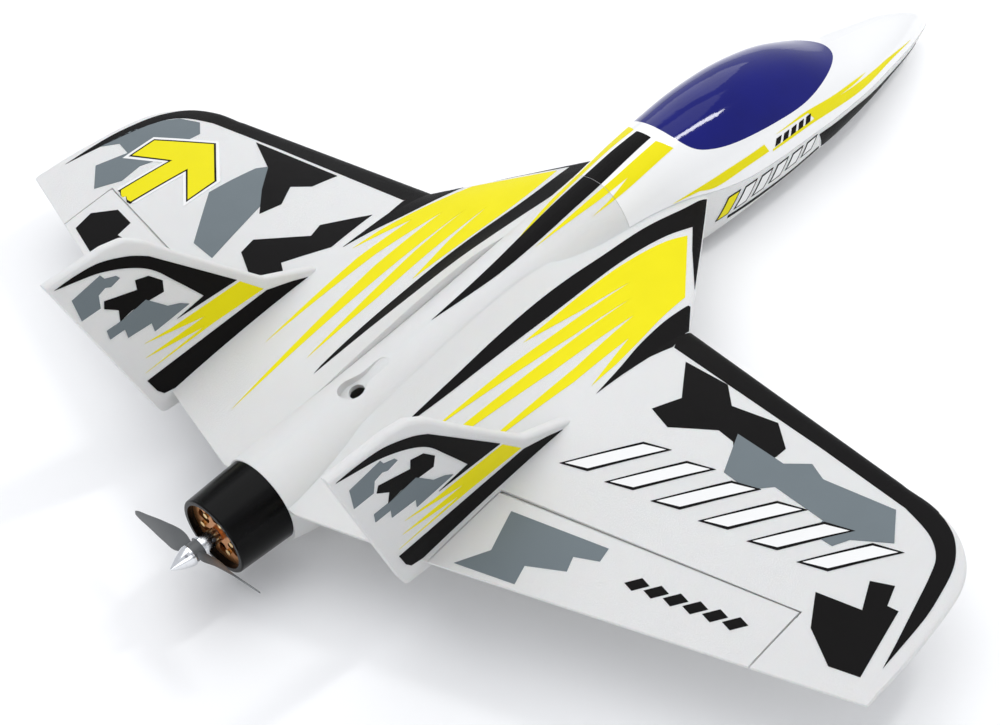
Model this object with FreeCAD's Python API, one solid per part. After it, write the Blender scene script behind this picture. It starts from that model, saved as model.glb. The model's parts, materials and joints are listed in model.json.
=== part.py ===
import FreeCAD, Part
import math
import os

# Radio-controlled foam pusher jet, in millimetres.
# +X is forward (nose), +Y is the aircraft's left, +Z is up.
# The origin is on the flat belly, in the centre plane, under the kink in the wing's leading edge.

V = FreeCAD.Vector

# ---------------------------------------------------------------- driving dimensions
SPAN = 783.0
NOSE_X = 423.8
TAIL_X = -272.0
WING_Z = 56.0            # chord plane of the wing above the belly's flat
MOTOR_Z = 47.3           # motor axis above the belly's flat
FOAM = 9.0               # wall of the hollow fuselage
HOOD_GAP = 0.3
GLAZING = 1.0            # thickness of the canopy
FIT = 0.03               # radial clearance of a pin, shaft or pressed ring

# fuselage sections: x, half width, top, bottom, height of greatest width
SECTIONS = [
    (423.8, 2.0, 20.4, 16.8, 18.6),
    (422.0, 5.2, 23.9, 14.8, 18.9),
    (417.6, 8.2, 27.9, 12.9, 19.7),
    (406.5, 12.4, 34.6, 11.5, 21.4),
    (380.0, 21.4, 45.2, 10.9, 25.6),
    (340.0, 31.8, 54.6, 10.8, 32.2),
    (300.0, 41.0, 65.1, 10.3, 39.0),
    (275.0, 44.4, 76.4, 9.0, 42.2),
    (250.0, 46.6, 87.7, 7.4, 44.4),
    (200.0, 47.5, 101.0, 4.2, 47.5),
    (150.0, 45.2, 105.2, 0.8, 50.5),
    (100.0, 39.0, 104.9, -1.4, 53.0),
    (50.0, 33.5, 100.2, -1.6, 55.5),
    (-20.0, 32.0, 93.5, -1.6, 55.0),
    (-115.0, 31.5, 84.5, -1.5, 53.0),
    (-200.0, 31.2, 78.8, 2.5, 50.5),
    (-250.0, 31.2, 77.4, 9.5, 48.5),
    (-272.0, 30.0, 77.3, 17.3, 47.3),
]
UPPER_POWER = 2.1        # superellipse powers: the lower half is a little squarer
LOWER_POWER = 2.5
ALL_X = (-280.0, 440.0)  # a block that holds the whole fuselage above the belly's flat
ALL_TOP = 130.0

# wing planform, left side
ROOT_Y = 22.0
KINK_Y = 122.5
STRAKE_SLOPE = 1.404     # x per y along the strake's leading edge
TIP_BLEND_Y = 310.0      # the tip starts to bend away from the straight panel after this
TIP_START_Y = 335.0
ROOT_THICKNESS = 24.0
KINK_THICKNESS = 19.5
# root fillet: y, how far the upper surface is raised behind FILLET_FULL_X
ROOT_FILLET = [
    (22.0, 16.0), (27.0, 12.0), (32.0, 8.3), (37.0, 5.1), (42.0, 2.8), (47.0, 1.2), (52.0, 0.3),
    (57.0, 0.0),
]
FILLET_START_X = 48.0    # the fillet begins behind the hood and rises to its full height
FILLET_FULL_X = -75.0
TE_ROOT = (35.0, -272.0)
TE_KINK_X = -248.5
TE_TIP_X = -168.0
TE_THICKNESS = 1.8
CAMBER = 0.012
# tip sections: y, x of the leading edge, thickness
TIP_SECTIONS = [
    (335.0, -29.0, 11.0),
    (348.0, -33.0, 10.4),
    (359.0, -38.5, 9.6),
    (369.0, -46.5, 8.6),
    (377.0, -56.0, 7.6),
    (383.0, -68.0, 6.4),
    (387.0, -86.0, 5.2),
    (389.5, -108.0, 4.2),
    (391.0, -138.0, 3.2),
    (391.5, -160.0, 2.2),
]

# elevons
ELEVON_IN_Y = 127.5
ELEVON_OUT_Y = 326.5
HINGE_IN = (128.4, -184.3)
HINGE_OUT = (326.2, -144.2)
HINGE_Z = 57.0
COVE_GAP = 0.5
HINGE_RELIEF = 3.0       # how far the wing stops ahead of the hinge line
ELEVON_END_GAP = 1.2

# fins
FIN_Y = 120.3
FIN_CANT = 5.7
FIN_THICKNESS = 7.0
FIN_OUTLINE = [
    (-304.0, 180.5), (-262.0, 45.5), (-234.0, 44.0), (-222.0, 52.0), (-118.0, 55.5),
    (-108.0, 67.0), (-156.0, 88.5), (-184.0, 117.5), (-214.0, 150.0), (-230.0, 168.0),
    (-243.0, 177.5), (-258.0, 180.5),
]

# hood seam seen from the side: x, z from its rear corner to the nose
SEAM = [
    (44.0, 71.6), (60.0, 70.6), (78.0, 68.4), (95.0, 65.5), (106.0, 62.7), (116.0, 59.6),
    (130.0, 55.8), (150.0, 51.8), (200.0, 47.8), (250.0, 44.2), (300.0, 38.6), (345.0, 31.4),
    (385.0, 24.4), (410.0, 20.2), (426.0, 18.4),
]
# canopy outline seen from above: x, half width
CANOPY = [
    (108.0, 0.0), (109.3, 14.0), (115.0, 26.0), (128.0, 33.0), (145.0, 37.2), (170.0, 40.2),
    (200.0, 41.6), (222.0, 41.0), (242.0, 38.2), (262.0, 32.0), (280.0, 22.5), (292.0, 11.5),
    (296.0, 0.0),
]

# motor group, all on the motor axis
HOUSING_FRONT_R = 29.4
HOUSING_REAR_R = 27.7
HOUSING_REAR_X = -312.7
HOUSING_BORE_R = 24.2
SOCKET_R = 25.0
SOCKET_X = -256.0
BASE_X = -308.0          # outer face of the motor's end plate
BASE_THICKNESS = 2.4
BEARING_TUBE_R = 5.2
BEARING_R = 4.0
SHAFT_R = 2.0
SHAFT_FRONT_X = -270.0
SHAFT_REAR_X = -339.0
STATOR_R = 16.0
CAN_R = 19.5
CAN_INNER_R = 18.6
PROP_X = -327.0          # middle of the propeller's hub
PROP_PITCH = 132.0
# propeller blade: radius, chord, thickness
BLADE = [
    (4.0, 6.2, 4.0), (9.0, 8.6, 3.4), (16.0, 12.6, 2.6), (24.0, 13.8, 2.1), (34.0, 12.6, 1.8),
    (46.0, 10.0, 1.5), (57.0, 7.0, 1.2), (63.5, 4.6, 1.0), (66.0, 2.6, 0.8),
]
PROP_HUB_R = 6.4
PROP_HUB = 7.0
PROP_TILT = -8.0         # how far the port blade hangs below level
SPINNER_TIP_X = -346.5
SPINNER_R = 7.2

# control linkage, a parallelogram on each side
HORN_Y = 150.0
LINK = 95.0              # servo shaft to elevon hinge, square to the hinge
ARM = 15.0               # servo arm, and horn depth below the hinge
SERVO_DROP = 2.0         # servo shaft below the hinge
ROD_R = 0.75
STEM_R = 0.95
HORN_HOLE_R = 1.0
SERVO_BODY = (22.5, 24.0, 12.0)
SPAR_X = -62.0
SPAR_Z = 58.0
SPAR_R = 3.0
SPAR_WALL = 1.0
SPAR_HALF = 210.0

# equipment in the fuselage
FLOOR_Z = 16.0           # flat floor of the equipment bay
BATTERY = (105.0, 34.0, 25.0)
BATTERY_X = 90.0
TRAY = 2.0
STRAP = 1.4
CONTROLLER = (52.0, 25.0, 9.0)
CONTROLLER_X = -62.0
RECEIVER = (37.0, 22.0, 12.0)
RECEIVER_X = 15.0
LEAD_X = -95.0           # channel for the servo lead through the wing root
LEAD_Z = 54.0
LEAD_HOLE_R = 1.8
BULKHEAD_X = -259.0      # rear face of the plywood bulkhead
NECK_R = 19.0            # opening of the foam ahead of the bulkhead
CATCH_X = 60.0           # the hood's catches
CATCH_TOP = 69.4


# ---------------------------------------------------------------- helpers
parts = {}


def add_pair(name, left):
    """Keeps a left part and its mirror image on the right."""
    parts[name + "_left"] = left
    parts[name + "_right"] = mirrored(left)


def box(x0, x1, y0, y1, z0, z1):
    return Part.makeBox(x1 - x0, y1 - y0, z1 - z0, V(x0, y0, z0))


def rod(radius, x0, x1, y=0.0, z=MOTOR_Z):
    """A cylinder along X from x0 to x1."""
    return Part.makeCylinder(radius, abs(x1 - x0), V(min(x0, x1), y, z), V(1, 0, 0))


def ring(outer, inner, x0, x1):
    return rod(outer, x0, x1).cut(rod(inner, min(x0, x1) - 1, max(x0, x1) + 1))


def fuse_all(shapes):
    whole = shapes[0]
    for shape in shapes[1:]:
        whole = whole.fuse(shape)
    return whole


def around(shape, count, start=0.0):
    """Copies of a shape turned about the motor axis."""
    copies = []
    for i in range(count):
        copy = shape.copy()
        copy.rotate(V(0, 0, MOTOR_Z), V(1, 0, 0), start + 360.0 * i / count)
        copies.append(copy)
    return copies


def mirrored(shape):
    return shape.mirror(V(0, 0, 0), V(0, 1, 0))


def both_sides(shape):
    return Part.makeCompound([shape, mirrored(shape)])


def spline_edge(points, closed=False):
    curve = Part.BSplineCurve()
    curve.interpolate(Points=points, PeriodicFlag=closed)
    return curve.toShape()


def prism(points, direction):
    """A prism on a closed polygon."""
    return Part.Face(Part.makePolygon(points + [points[0]])).extrude(direction)


def column_slopes(rows, k):
    """Slopes of a smooth curve through one column that never overshoots its rows."""
    steps = []
    for a, b in zip(rows[:-1], rows[1:]):
        steps.append((b[k] - a[k]) / (b[0] - a[0]))
    slopes = [steps[0]]
    for before, after in zip(steps[:-1], steps[1:]):
        same_way = before * after > 0
        slopes.append(2 * before * after / (before + after) if same_way else 0.0)
    slopes.append(steps[-1])
    return slopes


def column_at(rows, k, x):
    """Column k of a table at x, read from its smooth curve."""
    slopes = column_slopes(rows, k)
    for i in range(len(rows) - 1):
        x0, x1 = rows[i][0], rows[i + 1][0]
        if min(x0, x1) <= x <= max(x0, x1):
            span = x1 - x0
            t = (x - x0) / span
            rise = (2 * t**3 - 3 * t**2 + 1) * rows[i][k] + (3 * t**2 - 2 * t**3) * rows[i + 1][k]
            lean = (t**3 - 2 * t**2 + t) * slopes[i] + (t**3 - t**2) * slopes[i + 1]
            return rise + span * lean
    return rows[-1][k]


# ---------------------------------------------------------------- fuselage
STATIONS = sorted(
    [row[0] for row in SECTIONS] + [413, 395, 360, 320, 225, 175, 125, 75, 15, -65, -160, -228, -262],
    reverse=True,
)


def section_edge(x, inset):
    """The left half of the fuselage's section, from its top round to its bottom."""
    half, top, bottom, middle = (column_at(SECTIONS, k, x) for k in (1, 2, 3, 4))
    points = []
    count = 14
    for i in range(count + 1):
        angle = math.pi / 2 - math.pi * i / count
        c = 0.0 if i in (0, count) else math.cos(angle)
        s = math.sin(angle)
        power = UPPER_POWER if s >= 0 else LOWER_POWER
        height = abs((top if s >= 0 else bottom) - middle) - inset
        y = (half - inset) * c ** (2 / power)
        z = middle + height * math.copysign(abs(s) ** (2 / power), s)
        points.append(V(x, y, z))
    curve = Part.BSplineCurve()
    curve.interpolate(Points=points, InitialTangent=V(0, 1, 0), FinalTangent=V(0, -1, 0))
    return curve.toShape()


def half_body(inset, front, rear):
    """The left half of the fuselage's shape between two stations, smaller all round by inset."""
    wires = [Part.Wire([section_edge(x, inset)]) for x in STATIONS if rear <= x <= front]
    skin = Part.makeLoft(wires, False, False)
    ends = [e for e in skin.Edges if e.BoundBox.XLength < 1]
    keel_and_spine = [e for e in skin.Edges if e.BoundBox.XLength >= 1]
    faces = list(skin.Faces)
    closing = []
    for edge in ends:
        line = Part.LineSegment(edge.Vertexes[0].Point, edge.Vertexes[-1].Point).toShape()
        closing.append(line)
        faces.append(Part.Face(Part.Wire(Part.__sortEdges__([edge, line]))))
    faces.append(Part.Face(Part.Wire(Part.__sortEdges__(keel_and_spine + closing))))
    shell = Part.makeShell(faces)
    shell.sewShape()
    body = Part.makeSolid(shell)
    if body.Volume < 0:
        body.reverse()
    return body


def hood_region(gap):
    """Everything above the hood's seam, reaching gap further on the seam's side."""
    seam = [V(x, -70, z - gap) for x, z in SEAM]
    seam[0].x -= gap
    up_front = V(seam[-1].x, -70, ALL_TOP)
    up_rear = V(seam[0].x, -70, ALL_TOP)
    edges = [
        spline_edge(seam),
        Part.LineSegment(seam[-1], up_front).toShape(),
        Part.LineSegment(up_front, up_rear).toShape(),
        Part.LineSegment(up_rear, seam[0]).toShape(),
    ]
    return Part.Face(Part.Wire(edges)).extrude(V(0, 140, 0))


def canopy_region():
    """A column standing on the canopy's outline."""
    left = [V(x, half, 40) for x, half in CANOPY]
    right = [V(x, -half, 40) for x, half in CANOPY[1:-1]]
    outline = spline_edge(left + right[::-1], closed=True)
    return Part.Face(Part.Wire([outline])).extrude(V(0, 0, 90))


def cooling_outlet():
    """The tear-drop outlet in the fuselage's back: a groove that deepens aft into a slanted hole."""
    rear, length, half, depth = -197.0, 42.0, 8.8, 9.0
    plan = [
        V(rear, 0, 0), V(rear + 3, half * 0.75, 0), V(rear + 10, half, 0),
        V(rear + 22, half * 0.55, 0), V(rear + length, 0.6, 0), V(rear + length, -0.6, 0),
        V(rear + 22, -half * 0.55, 0), V(rear + 10, -half, 0), V(rear + 3, -half * 0.75, 0),
    ]
    column = Part.Face(Part.Wire([spline_edge(plan, closed=True)])).extrude(V(0, 0, 60))
    column.translate(V(0, 0, 50))
    floor = prism(
        [V(rear - 5, -20, 77.5 - depth), V(rear + length, -20, 81.3), V(rear + length, -20, 120),
         V(rear - 5, -20, 120)],
        V(0, 40, 0),
    )
    hole = Part.makeCylinder(5.6, 34, V(rear + 9.5, 0, 84), V(0.35, 0, -1))
    return column.common(floor).fuse(hole)


def bay():
    """The hollow inside the left half of the fuselage and hood."""
    hollow = half_body(FOAM, 365, -251)
    return hollow.common(box(-255, 370, -5, 60, FLOOR_Z, 120))


def lead_notch():
    """The way for the motor leads past the rim of the bulkhead."""
    return box(-275, -249, -7, 7, 23.5, 40)


def wing_spar_hole():
    return Part.makeCylinder(SPAR_R, 2 * SPAR_HALF, V(SPAR_X, -SPAR_HALF, SPAR_Z), V(0, 1, 0))


def lead_channel():
    return Part.makeCylinder(LEAD_HOLE_R, 90, V(LEAD_X, 15, LEAD_Z), V(0, 1, 0))


def hood_tongue():
    """Catch tongue under the left side of the hood."""
    return box(CATCH_X - 4, CATCH_X + 4, 19.0, 20.6, CATCH_TOP - 8, CATCH_TOP + 15)


def hood_clip():
    """Sprung clip on the fuselage's wall that holds the tongue."""
    body = box(CATCH_X - 5, CATCH_X + 5, 17.6, 26.5, CATCH_TOP - 16, CATCH_TOP)
    return body.cut(box(CATCH_X - 6, CATCH_X + 6, 18.7, 20.9, CATCH_TOP - 12, CATCH_TOP + 4))


def build_foam_body():
    outside = half_body(0.0, NOSE_X, TAIL_X).common(box(*ALL_X, -5, 60, 0, ALL_TOP))
    hollow = bay()
    canopy = canopy_region().cut(half_body(GLAZING, 320, 90))

    half = outside.cut(hood_region(HOOD_GAP)).cut(hollow)
    socket = rod(SOCKET_R, SOCKET_X, TAIL_X - 1)
    neck = rod(NECK_R, SOCKET_X - 1, SOCKET_X + 7)
    for space in (socket, neck, lead_notch(), cooling_outlet(), wing_spar_hole(), lead_channel(),
                  hood_clip()):
        half = half.cut(space)
    add_pair("fuselage", half)

    hood = outside.common(hood_region(0.0)).cut(hollow)
    glazing = hood.common(canopy)
    hood = hood.cut(canopy).cut(hood_tongue())
    parts["canopy_hood"] = hood.fuse(mirrored(hood))
    parts["canopy_glazing"] = glazing.fuse(mirrored(glazing))
    parts["hood_tongues"] = both_sides(hood_tongue())
    parts["hood_clips"] = both_sides(hood_clip())
    return outside, hollow


def build_equipment(hollow):
    whole_bay = hollow.fuse(mirrored(hollow))
    tray_top = FLOOR_Z + TRAY
    length, width, height = BATTERY
    tray = whole_bay.common(box(72, 216, -60, 60, FLOOR_Z, tray_top))
    strap_x = (BATTERY_X + 38, BATTERY_X + 58)
    outer = box(*strap_x, -width / 2 - 0.1 - STRAP, width / 2 + 0.1 + STRAP,
                FLOOR_Z, tray_top + height + STRAP)
    inner = box(strap_x[0] - 1, strap_x[1] + 1, -width / 2 - 0.1, width / 2 + 0.1,
                FLOOR_Z + 0.6, tray_top + height)
    strap = outer.cut(inner)
    tray = tray.cut(outer)
    parts["battery_tray"] = tray.fuse(
        box(*strap_x, -width / 2, width / 2, FLOOR_Z + 0.6, tray_top))
    parts["battery_strap"] = strap
    pack = box(BATTERY_X, BATTERY_X + length, -width / 2, width / 2, tray_top, tray_top + height)
    parts["battery"] = pack.makeFillet(2.5, [e for e in pack.Edges if e.BoundBox.XLength > 50])

    length, width, height = CONTROLLER
    esc = box(CONTROLLER_X, CONTROLLER_X + length, -width / 2, width / 2, FLOOR_Z, FLOOR_Z + height)
    parts["speed_controller"] = esc.makeFillet(1.5, esc.Edges)
    length, width, height = RECEIVER
    receiver = box(RECEIVER_X, RECEIVER_X + length, -width / 2, width / 2, FLOOR_Z,
                   FLOOR_Z + height)
    sockets = [box(RECEIVER_X - 1, RECEIVER_X + 4, y - 3.9, y + 3.9, FLOOR_Z + 4, FLOOR_Z + 7)
               for y in (-6.0, 6.0)]
    receiver = receiver.makeFillet(1.2, [e for e in receiver.Edges if e.BoundBox.ZLength > 1])
    for socket in sockets:
        receiver = receiver.cut(socket)
    parts["receiver"] = receiver


# ---------------------------------------------------------------- wing
def leading_edge(y):
    if y <= KINK_Y:
        return STRAKE_SLOPE * (KINK_Y - y)
    slope = TIP_SECTIONS[0][1] / (TIP_START_Y - KINK_Y)
    return slope * (y - KINK_Y)


def trailing_edge(y):
    if y <= KINK_Y:
        slope = (TE_KINK_X - TE_ROOT[1]) / (KINK_Y - TE_ROOT[0])
        return TE_ROOT[1] + slope * (y - TE_ROOT[0])
    slope = (TE_TIP_X - TE_KINK_X) / (SPAN / 2 - KINK_Y)
    return TE_KINK_X + slope * (y - KINK_Y)


def half_thickness(s):
    """Half the thickness of the wing section at chord fraction s, for a section 1 thick."""
    return 5 * (0.2969 * math.sqrt(s) - 0.126 * s - 0.3516 * s**2 + 0.2843 * s**3 - 0.1036 * s**4)


def fillet_share(x):
    """How much of the root fillet's height is there at a station: none beside the hood."""
    t = (FILLET_START_X - x) / (FILLET_START_X - FILLET_FULL_X)
    t = max(0.0, min(1.0, t))
    return t * t * (3 - 2 * t)


def wing_section(y, x_le, x_te, thickness, root_fillet=0.0):
    chord = x_le - x_te
    te_half = min(TE_THICKNESS, thickness) / 2
    upper, lower = [], []
    count = 15
    for i in range(count + 1):
        s = (1 - math.cos(math.pi * i / count)) / 2
        mean = WING_Z + 4 * CAMBER * chord * s * (1 - s) * (thickness / 20.0)
        half = thickness * half_thickness(s) + te_half * s
        x = x_le - chord * s
        raised = half + root_fillet * fillet_share(x) * 2 * half_thickness(s)
        upper.append(V(x, y, mean + raised))
        lower.append(V(x, y, mean - half))
    outline = spline_edge(upper[::-1] + lower[1:])
    closing = Part.LineSegment(lower[-1], upper[-1]).toShape()
    return Part.Wire([outline, closing])


def strake_section(y, fillet=0.0):
    thickness = ROOT_THICKNESS + (KINK_THICKNESS - ROOT_THICKNESS) * (y - ROOT_Y) / (KINK_Y - ROOT_Y)
    return wing_section(y, leading_edge(y), trailing_edge(y), thickness, fillet)


def panel_section(y):
    thickness = KINK_THICKNESS + (TIP_SECTIONS[0][2] - KINK_THICKNESS) * (y - KINK_Y) / (
        TIP_START_Y - KINK_Y)
    return wing_section(y, leading_edge(y), trailing_edge(y), thickness)


def wing_blank():
    """One wing panel with its strake, before the elevon is parted off."""
    fillet = Part.makeLoft([strake_section(y, rise) for y, rise in ROOT_FILLET], True, False)
    strake = Part.makeLoft([strake_section(ROOT_FILLET[-1][0]), strake_section(KINK_Y)], True, True)
    panel = Part.makeLoft([panel_section(KINK_Y), panel_section(TIP_BLEND_Y)], True, True)
    tip = [panel_section(y) for y in (TIP_BLEND_Y, TIP_BLEND_Y + 11)]
    for y, x_le, thickness in TIP_SECTIONS:
        tip.append(wing_section(y, x_le, trailing_edge(y), thickness))
    return fuse_all([fillet, strake, panel, Part.makeLoft(tip, True, False)])


def hinge_direction():
    direction = V(HINGE_OUT[1] - HINGE_IN[1], HINGE_OUT[0] - HINGE_IN[0], 0)
    return direction.normalize()


def hinge_point(y):
    """The point of the left hinge line at a given y."""
    t = (y - HINGE_IN[0]) / (HINGE_OUT[0] - HINGE_IN[0])
    return V(HINGE_IN[1] + t * (HINGE_OUT[1] - HINGE_IN[1]), y, HINGE_Z)


def hinge_radius(y):
    """Radius of the elevon's rounded front edge, just inside the wing's thickness there."""
    t = (y - ELEVON_IN_Y) / (ELEVON_OUT_Y - ELEVON_IN_Y)
    return 5.4 + t * (3.7 - 5.4)


def hinge_cone(extra, y0, y1):
    """A cone on the hinge line, extra larger than the elevon's front edge."""
    start, end = hinge_point(y0), hinge_point(y1)
    length = (end - start).Length
    return Part.makeCone(hinge_radius(y0) + extra, hinge_radius(y1) + extra, length, start,
                         hinge_direction())


def behind_hinge(ahead, y0, y1):
    """Everything behind the hinge line between two ribs, starting a little ahead of the line."""
    square = V(hinge_direction().y, -hinge_direction().x, 0)
    a = hinge_point(y0) + square * ahead
    b = hinge_point(y1) + square * ahead
    low = WING_Z - 40
    corners = [V(a.x, y0, low), V(b.x, y1, low), V(-300, y1, low), V(-300, y0, low)]
    return prism(corners, V(0, 0, 80))


def between_ribs(y0, y1):
    return box(-320, 150, y0, y1, WING_Z - 40, WING_Z + 60)


def is_cross_edge(edge):
    """True for an edge that runs straight through the fin's thickness."""
    a, b = edge.Vertexes[0].Point, edge.Vertexes[-1].Point
    return abs(a.x - b.x) < 0.01 and abs(a.z - b.z) < 0.01


def is_trailing(edge):
    middle = edge.BoundBox.Center
    (x0, z0), (x1, z1) = FIN_OUTLINE[0], FIN_OUTLINE[1]
    t = (middle.z - z0) / (z1 - z0)
    return abs(middle.x - (x0 + t * (x1 - x0))) < 1.5


def build_fin():
    """The left fin: a plate with rounded edges, leaning outwards."""
    plate = prism([V(x, -FIN_THICKNESS / 2, z) for x, z in FIN_OUTLINE], V(0, FIN_THICKNESS, 0))
    tip_x, heel_x = FIN_OUTLINE[0][0], FIN_OUTLINE[1][0]
    heel = [e for e in plate.Edges if is_cross_edge(e) and abs(e.Vertexes[0].X - heel_x) < 1]
    plate = plate.makeFillet(6.0, heel)
    crown = [e for e in plate.Edges if is_cross_edge(e) and e.Vertexes[0].Z > WING_Z + 4
             and e.Vertexes[0].X > tip_x + 1]
    plate = plate.makeFillet(9.0, crown)
    rims = [e for e in plate.Edges if not is_cross_edge(e) and e.BoundBox.ZMax > WING_Z + 12
            and not is_trailing(e)]
    plate = plate.makeFillet(2.6, rims)
    plate.translate(V(0, FIN_Y, 0))
    plate.rotate(V(0, FIN_Y, WING_Z), V(1, 0, 0), -FIN_CANT)
    return plate


def build_wings(outside):
    wing = wing_blank().cut(outside).common(box(TAIL_X, 200, 0, SPAN, 0, ALL_TOP))
    fin = build_fin()
    front = hinge_cone(0.0, ELEVON_IN_Y, ELEVON_OUT_Y)
    elevon = wing.common(behind_hinge(0.0, ELEVON_IN_Y, ELEVON_OUT_Y).fuse(front))
    elevon = elevon.common(
        between_ribs(ELEVON_IN_Y + ELEVON_END_GAP, ELEVON_OUT_Y - ELEVON_END_GAP))
    cove = hinge_cone(COVE_GAP, ELEVON_IN_Y, ELEVON_OUT_Y)
    wing = wing.cut(behind_hinge(HINGE_RELIEF, ELEVON_IN_Y, ELEVON_OUT_Y).fuse(cove)).cut(fin)
    for space in (wing_spar_hole(), lead_channel(), placed(servo_space())):
        wing = wing.cut(space)
    horn = placed(control_horn())
    elevon = elevon.cut(horn)
    add_pair("wing", wing)
    add_pair("elevon", elevon)
    add_pair("fin", fin)
    add_pair("control_horn", horn)
    parts["wing_spar"] = wing_spar_hole().cut(
        Part.makeCylinder(SPAR_R - SPAR_WALL, 2 * SPAR_HALF + 2,
                          V(SPAR_X, -SPAR_HALF - 1, SPAR_Z), V(0, 1, 0)))


# ---------------------------------------------------------------- control linkage
# Built with the hinge along Y at the origin, +X forward to the servo, then placed on the wing.
PIN_Z = -SERVO_DROP - ARM
ROD_Y = 2.8
ARM_HALF = 0.9
HORN_HALF = 0.8


def placed(shape):
    shape = shape.copy()
    direction = hinge_direction()
    shape.rotate(V(0, 0, 0), V(0, 0, 1), -math.degrees(math.atan2(direction.x, direction.y)))
    shape.translate(hinge_point(HORN_Y))
    return shape


def pin(radius, x, z, y0, y1):
    """A cylinder along the hinge direction."""
    return Part.makeCylinder(radius, y1 - y0, V(x, y0, z), V(0, 1, 0))


def servo_case():
    length, depth, height = SERVO_BODY
    front = LINK + 6.0
    z0, z1 = -SERVO_DROP - height / 2, -SERVO_DROP + height / 2
    case = box(front - length, front, -5.5 - depth, -5.5, z0, z1)
    case = case.makeFillet(1.0, [e for e in case.Edges if e.BoundBox.YLength > 5])
    flange = box(front - length - 4.7, front + 4.7, -13.5, -11.5, z0, z1)
    boss = pin(5.2, LINK, -SERVO_DROP, -5.5, -4.9)
    spline = pin(2.0, LINK, -SERVO_DROP, -5.5, -1.2)
    return fuse_all([case, flange, boss, spline])


def servo_space():
    """The pocket for the servo, open below, with the slot that its arm swings in."""
    length, depth, height = SERVO_BODY
    front = LINK + 6.0
    z1 = -SERVO_DROP + height / 2
    body = box(front - length, front, -5.5 - depth, -5.5, -30, z1)
    flange = box(front - length - 4.7, front + 4.7, -13.5, -11.5, -30, z1)
    swing = box(LINK - 11, LINK + 11, -5.5, 5.0, -30, -SERVO_DROP + 5.6)
    return fuse_all([body, flange, swing])


def servo_arm():
    hub = pin(3.2, LINK, -SERVO_DROP, -4.6, ARM_HALF)
    tip = pin(1.9, LINK, PIN_Z, -ARM_HALF, ARM_HALF)
    corners = [(LINK - 3.0, -SERVO_DROP - 1), (LINK + 3.0, -SERVO_DROP - 1),
               (LINK + 1.85, PIN_Z), (LINK - 1.85, PIN_Z)]
    blade = prism([V(x, -ARM_HALF, z) for x, z in corners], V(0, 2 * ARM_HALF, 0))
    arm = fuse_all([hub, tip, blade]).cut(pin(2.04, LINK, -SERVO_DROP, -6, -1.1))
    for drop in (ARM - 5.0, ARM - 2.5):
        arm = arm.cut(pin(0.6, LINK, -SERVO_DROP - drop, -2, 2))
    return arm.cut(pin(0.8, LINK, PIN_Z, -2, 2)).cut(arm_screw())


def arm_screw():
    return pin(1.9, LINK, -SERVO_DROP, ARM_HALF, ARM_HALF + 1.0).fuse(
        pin(0.9, LINK, -SERVO_DROP, -1.1, ARM_HALF))


def pushrod():
    """A wire from behind the horn's connector to the servo arm, where it turns through the hole."""
    tail = V(-7, ROD_Y, -ARM + 7 * SERVO_DROP / LINK)
    elbow = V(LINK, ROD_Y, PIN_Z)
    wire = Part.makeCylinder(ROD_R, (elbow - tail).Length, tail, elbow - tail)
    corner = Part.makeSphere(ROD_R, elbow)
    return fuse_all([wire, corner, pin(ROD_R, LINK, PIN_Z, -3.0, ROD_Y)])


def rod_connector():
    barrel = pin(2.3, 0, -ARM, 1.0, 5.4)
    stem = pin(STEM_R, 0, -ARM, -1.8, 1.0)
    nut = pin(2.0, 0, -ARM, -2.4, -1.1)
    connector = fuse_all([barrel, stem, nut])
    return connector.cut(pushrod()).cut(connector_screw())


def connector_screw():
    screw = pin(1.1, 0, -ARM, ROD_Y + ROD_R, 6.2)
    return screw.cut(box(-2, 2, 5.8, 7, -ARM - 0.25, -ARM + 0.25))


def control_horn():
    corners = [(-17, -3.6), (-3.5, -3.6), (-2.0, -8), (2.2, -13.5), (2.2, -16.2), (0.8, -17.4),
               (-1.4, -17.4), (-17, -7)]
    blade = prism([V(x, -HORN_HALF, z) for x, z in corners], V(0, 2 * HORN_HALF, 0))
    foot = box(-19, -3.6, -5.5, 5.5, -5.4, -3.6)
    foot.rotate(V(-3.6, 0, -5.4), V(0, 1, 0), 3.0)
    return blade.fuse(foot).cut(pin(HORN_HOLE_R, 0, -ARM, -2, 2))


def build_linkage():
    shapes = {
        "servo": servo_case(), "servo_arm": servo_arm(), "arm_screw": arm_screw(),
        "pushrod": pushrod(), "rod_connector": rod_connector(),
        "connector_screw": connector_screw(),
    }
    for name, shape in shapes.items():
        add_pair(name, placed(shape))


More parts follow.
